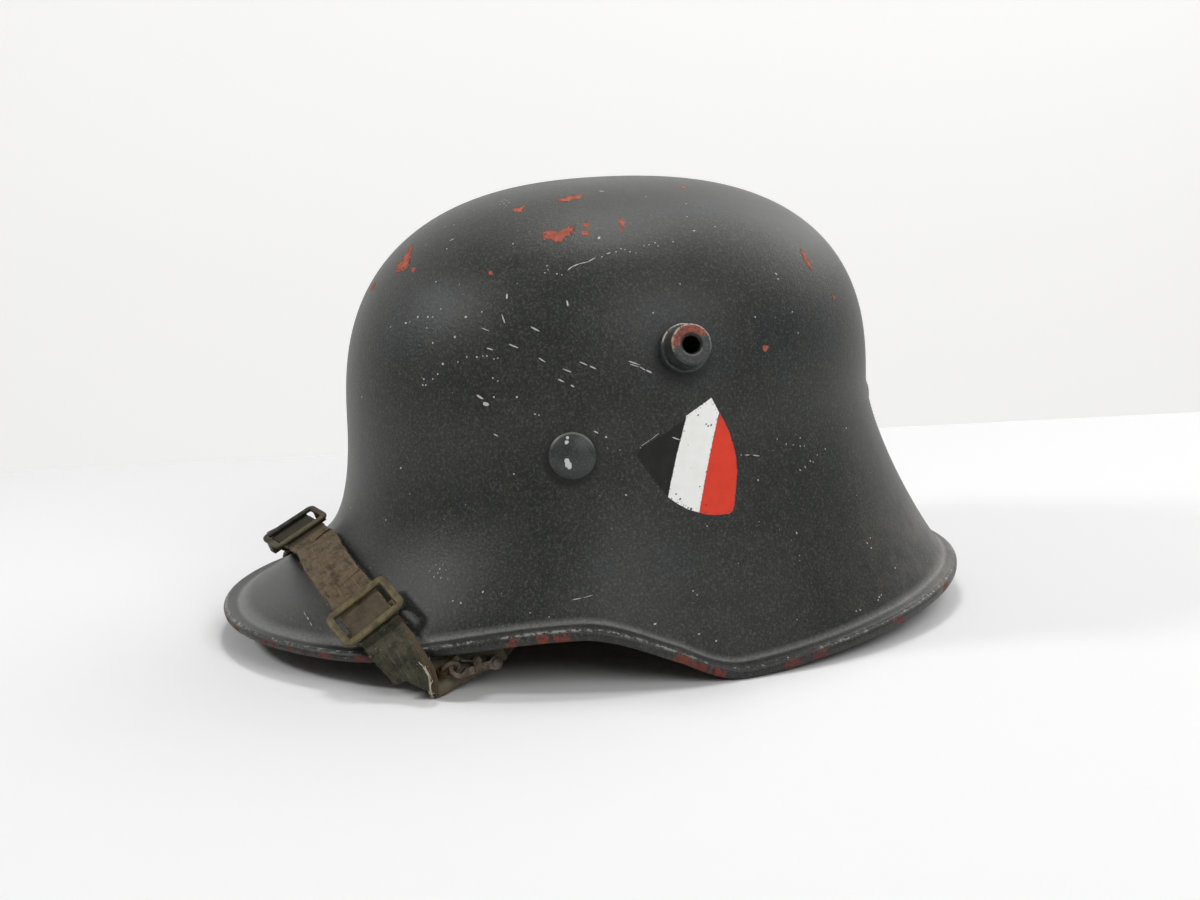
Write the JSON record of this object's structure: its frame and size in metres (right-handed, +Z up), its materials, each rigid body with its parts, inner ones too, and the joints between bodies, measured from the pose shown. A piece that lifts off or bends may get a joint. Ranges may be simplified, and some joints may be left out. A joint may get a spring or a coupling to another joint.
{
  "type": "steel helmet",
  "caption": "Steel helmet with a flared brim, side vent lugs, leather padded liner and a buckled chinstrap folded over the visor.",
  "frame": {"origin": "centre of the bounding box at its bottom: the table under the helmet", "axes": "-Y towards the visor, +X towards the wearer's left, +Z up"},
  "size_m": [0.2358, 0.308, 0.178],
  "materials": {
    "painted_shell": "worn satin paint",
    "band_steel": "dull, a little rust",
    "rusty_wire": "rusty",
    "buckle_brass": "dull brass with dirt",
    "buckle_steel": "dark, worn",
    "strap_leather_brown": "dry and dusty",
    "strap_leather_grey": "dry and dusty",
    "liner_leather": "worn matt",
    "cushion_cloth": "coarse cloth",
    "lace_cord": "twisted cord"
  },
  "bodies": {
    "helmet": {"shell": "painted_shell", "vent_lug_left": "painted_shell", "vent_lug_right": "painted_shell", "liner_pin_left": "painted_shell", "liner_pin_right": "painted_shell", "liner_pin_rear": "painted_shell", "pin_washer_left": "band_steel", "pin_washer_right": "band_steel", "pin_washer_rear": "band_steel", "liner_band": "band_steel", "pad_rivets": "band_steel", "liner_pad_front": "liner_leather", "liner_pad_left": "liner_leather", "liner_pad_right": "liner_leather", "cushion_front": "cushion_cloth", "cushion_left": "cushion_cloth", "cushion_right": "cushion_cloth", "liner_lace": "lace_cord", "strap_bracket_left": "band_steel", "strap_bracket_right": "band_steel", "bracket_rivets": "band_steel", "strap_tab_left": "strap_leather_grey", "carbine_hook": "rusty_wire", "hook_rivet": "rusty_wire", "gate_pin": "rusty_wire", "ring_keeper": "strap_leather_grey", "chinstrap_near": "strap_leather_grey", "chinstrap_far": "strap_leather_brown"},
    "band_ring_left": {"band_ring_left": "rusty_wire"},
    "band_ring_right": {"band_ring_right": "rusty_wire"},
    "hook_ring": {"hook_ring": "rusty_wire"},
    "hook_gate": {"hook_gate": "rusty_wire"},
    "large_buckle": {"large_buckle": "buckle_brass"},
    "small_buckle": {"small_buckle": "buckle_steel"}
  },
  "joints": [
    {"name": "band_ring_left_swing", "type": "hinge", "parent": "helmet", "child": "band_ring_left", "pos_m": [0.07935, -0.0334, 0.0655], "axis": [0.3456, 0.9384, 0], "range_deg": [-3, 3]},
    {"name": "band_ring_right_swing", "type": "hinge", "parent": "helmet", "child": "band_ring_right", "pos_m": [-0.07935, -0.0334, 0.0655], "axis": [0.3456, -0.9384, 0], "range_deg": [-3, 3]},
    {"name": "hook_ring_spin", "type": "hinge", "parent": "helmet", "child": "hook_ring", "pos_m": [0.09955, -0.07454, 0.00982], "axis": [0.8115, 0.2978, -0.5027], "continuous": true},
    {"name": "hook_gate_swing", "type": "hinge", "parent": "helmet", "child": "hook_gate", "pos_m": [0.09652, -0.06449, 0.0113], "axis": [0.9363, 0.2459, 0.2506], "range_deg": [0, 18], "stiffness_Nm_per_rad": 0.008, "springref_deg": -5.73},
    {"name": "large_buckle_slide", "type": "slide", "parent": "helmet", "child": "large_buckle", "axis": [-0.8604, -0.3502, 0.3702], "range_m": [0, 0.008]},
    {"name": "small_buckle_slide", "type": "slide", "parent": "helmet", "child": "small_buckle", "axis": [0.9082, 0.4036, -0.111], "range_m": [0, 0.005]}
  ]
}
